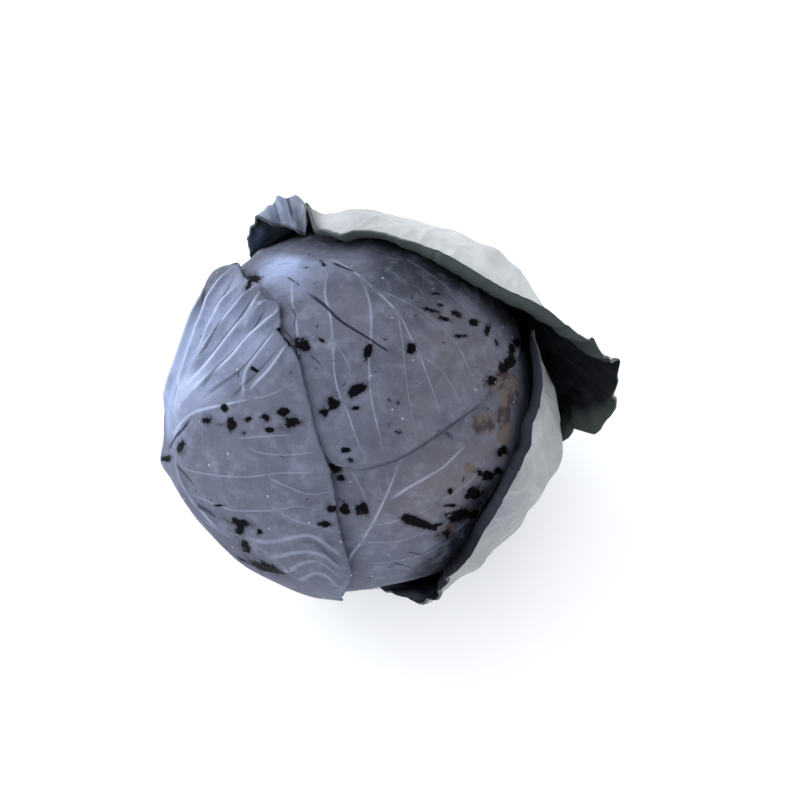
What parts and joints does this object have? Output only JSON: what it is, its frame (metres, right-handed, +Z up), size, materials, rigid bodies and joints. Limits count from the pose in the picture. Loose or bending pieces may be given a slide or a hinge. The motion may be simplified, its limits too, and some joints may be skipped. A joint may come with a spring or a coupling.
{
  "type": "red cabbage head",
  "caption": "Head of red cabbage with tightly packed inner leaves, wrapping outer leaves, one loose hood leaf and a short cut stem, standing on its stem.",
  "frame": {"origin": "middle of the cut face of the stem, on the surface that the head stands on", "axes": "+Z up; +X towards the side with the ruffled lobe of the hood leaf; -Y towards the side that the head leans to and the picture sees"},
  "size_m": [0.178, 0.1635, 0.1472],
  "materials": {
    "inner_head": "smooth purple leaf, slightly waxy",
    "waxy_leaf": "purple leaf under a blue-grey wax bloom, pale veins",
    "pale_leaf": "pale grey waxy outer face, dark slate inner face",
    "stem": "matte pale green skin with a dry cream cut face"
  },
  "bodies": {
    "root": {"inner_head": "inner_head", "lower_leaf": "waxy_leaf", "crown_leaf": "waxy_leaf", "left_leaf": "waxy_leaf", "right_leaf": "pale_leaf", "hood_leaf": "pale_leaf", "rear_leaf": "pale_leaf", "under_leaf": "pale_leaf", "stem": "stem"}
  },
  "joints": []
}
